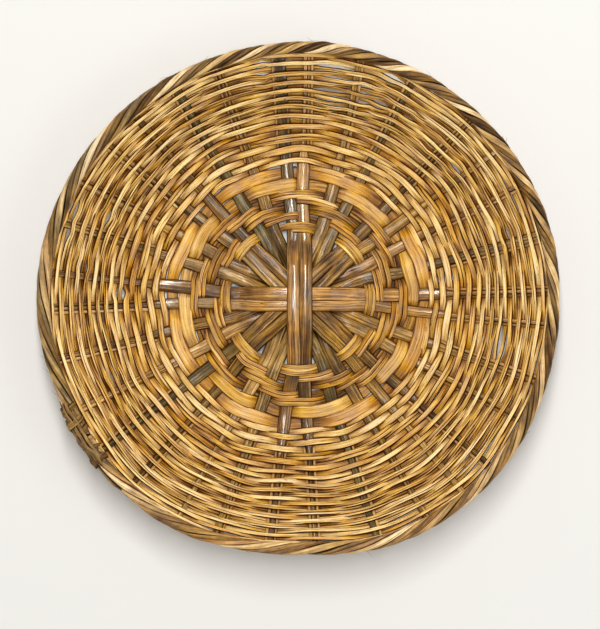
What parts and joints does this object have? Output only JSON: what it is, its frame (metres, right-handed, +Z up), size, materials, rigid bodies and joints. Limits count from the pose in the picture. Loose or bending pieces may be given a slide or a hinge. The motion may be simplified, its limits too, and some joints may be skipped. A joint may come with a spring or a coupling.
{
  "type": "winnowing basket",
  "caption": "Round shallow woven basket with a domed hub of crossed canes, twill bands, plain-woven sloping wall and a twisted rope rim, for tossing and sorting grain.",
  "frame": {"origin": "centre of the underside, on the surface the basket stands on", "axes": "+Z up out of the hollow; +Y along the topmost pair of canes, +X to the right of it seen from above"},
  "size_m": [0.5, 0.4913, 0.0759],
  "materials": {
    "long_cane": "split cane with a glossy outer skin, brown with dark streaks",
    "side_stake": "thin split cane stakes, pale tan",
    "twill_weaver": "thin split cane, golden tan, satin",
    "bright_ribbon": "wide flat ribbon of inner cane, orange-yellow, satin",
    "wall_weaver": "split cane weaver, golden tan, fibrous, satin",
    "rim_core": "cane hoop hidden in the rim",
    "rim_pale": "pale tan twisted strip",
    "rim_weathered": "weathered grey-brown twisted strip",
    "splice": "dark, knobbly overlapped cane"
  },
  "bodies": {
    "root": {"cane_diagonal_023_ccw": "long_cane", "cane_diagonal_023_cw": "long_cane", "cane_diagonal_045_ccw": "long_cane", "cane_diagonal_045_cw": "long_cane", "cane_diagonal_069_ccw": "long_cane", "cane_diagonal_069_cw": "long_cane", "cane_diagonal_113_ccw": "long_cane", "cane_diagonal_113_cw": "long_cane", "cane_diagonal_134_ccw": "long_cane", "cane_diagonal_134_cw": "long_cane", "cane_diagonal_155_ccw": "long_cane", "cane_diagonal_155_cw": "long_cane", "cane_horizontal_ccw": "long_cane", "cane_horizontal_cw": "long_cane", "cane_vertical_ccw": "long_cane", "cane_vertical_cw": "long_cane", "hub_lashing": "twill_weaver", "ribbon_inner": "bright_ribbon", "ribbon_outer": "bright_ribbon", "rim_hoop": "rim_core", "rim_splice_lashing": "splice", "rim_splice_strip": "splice", "rim_strand_1": "rim_pale", "rim_strand_2": "rim_weathered", "rim_strand_3": "rim_weathered", "rim_strand_4": "rim_weathered", "side_stakes_bottom": "side_stake", "side_stakes_left": "side_stake", "side_stakes_right": "side_stake", "side_stakes_top": "side_stake", "twill_row_1": "twill_weaver", "twill_row_2": "twill_weaver", "twill_row_3": "twill_weaver", "twill_row_4": "twill_weaver", "wall_weaver_01": "wall_weaver", "wall_weaver_02": "wall_weaver", "wall_weaver_03": "wall_weaver", "wall_weaver_04": "wall_weaver", "wall_weaver_05": "wall_weaver", "wall_weaver_06": "wall_weaver", "wall_weaver_07": "wall_weaver", "wall_weaver_08": "wall_weaver", "wall_weaver_09": "wall_weaver", "wall_weaver_10": "wall_weaver", "wall_weaver_11": "wall_weaver", "wall_weaver_12": "wall_weaver", "wall_weaver_13": "wall_weaver", "wall_weaver_14": "wall_weaver", "wall_weaver_15": "wall_weaver", "wall_weaver_16": "wall_weaver", "wall_weaver_17": "wall_weaver", "wall_weaver_18": "wall_weaver", "wall_weaver_19": "wall_weaver", "wall_weaver_20": "wall_weaver", "wall_weaver_21": "wall_weaver", "wall_weaver_22": "wall_weaver"}
  },
  "joints": []
}
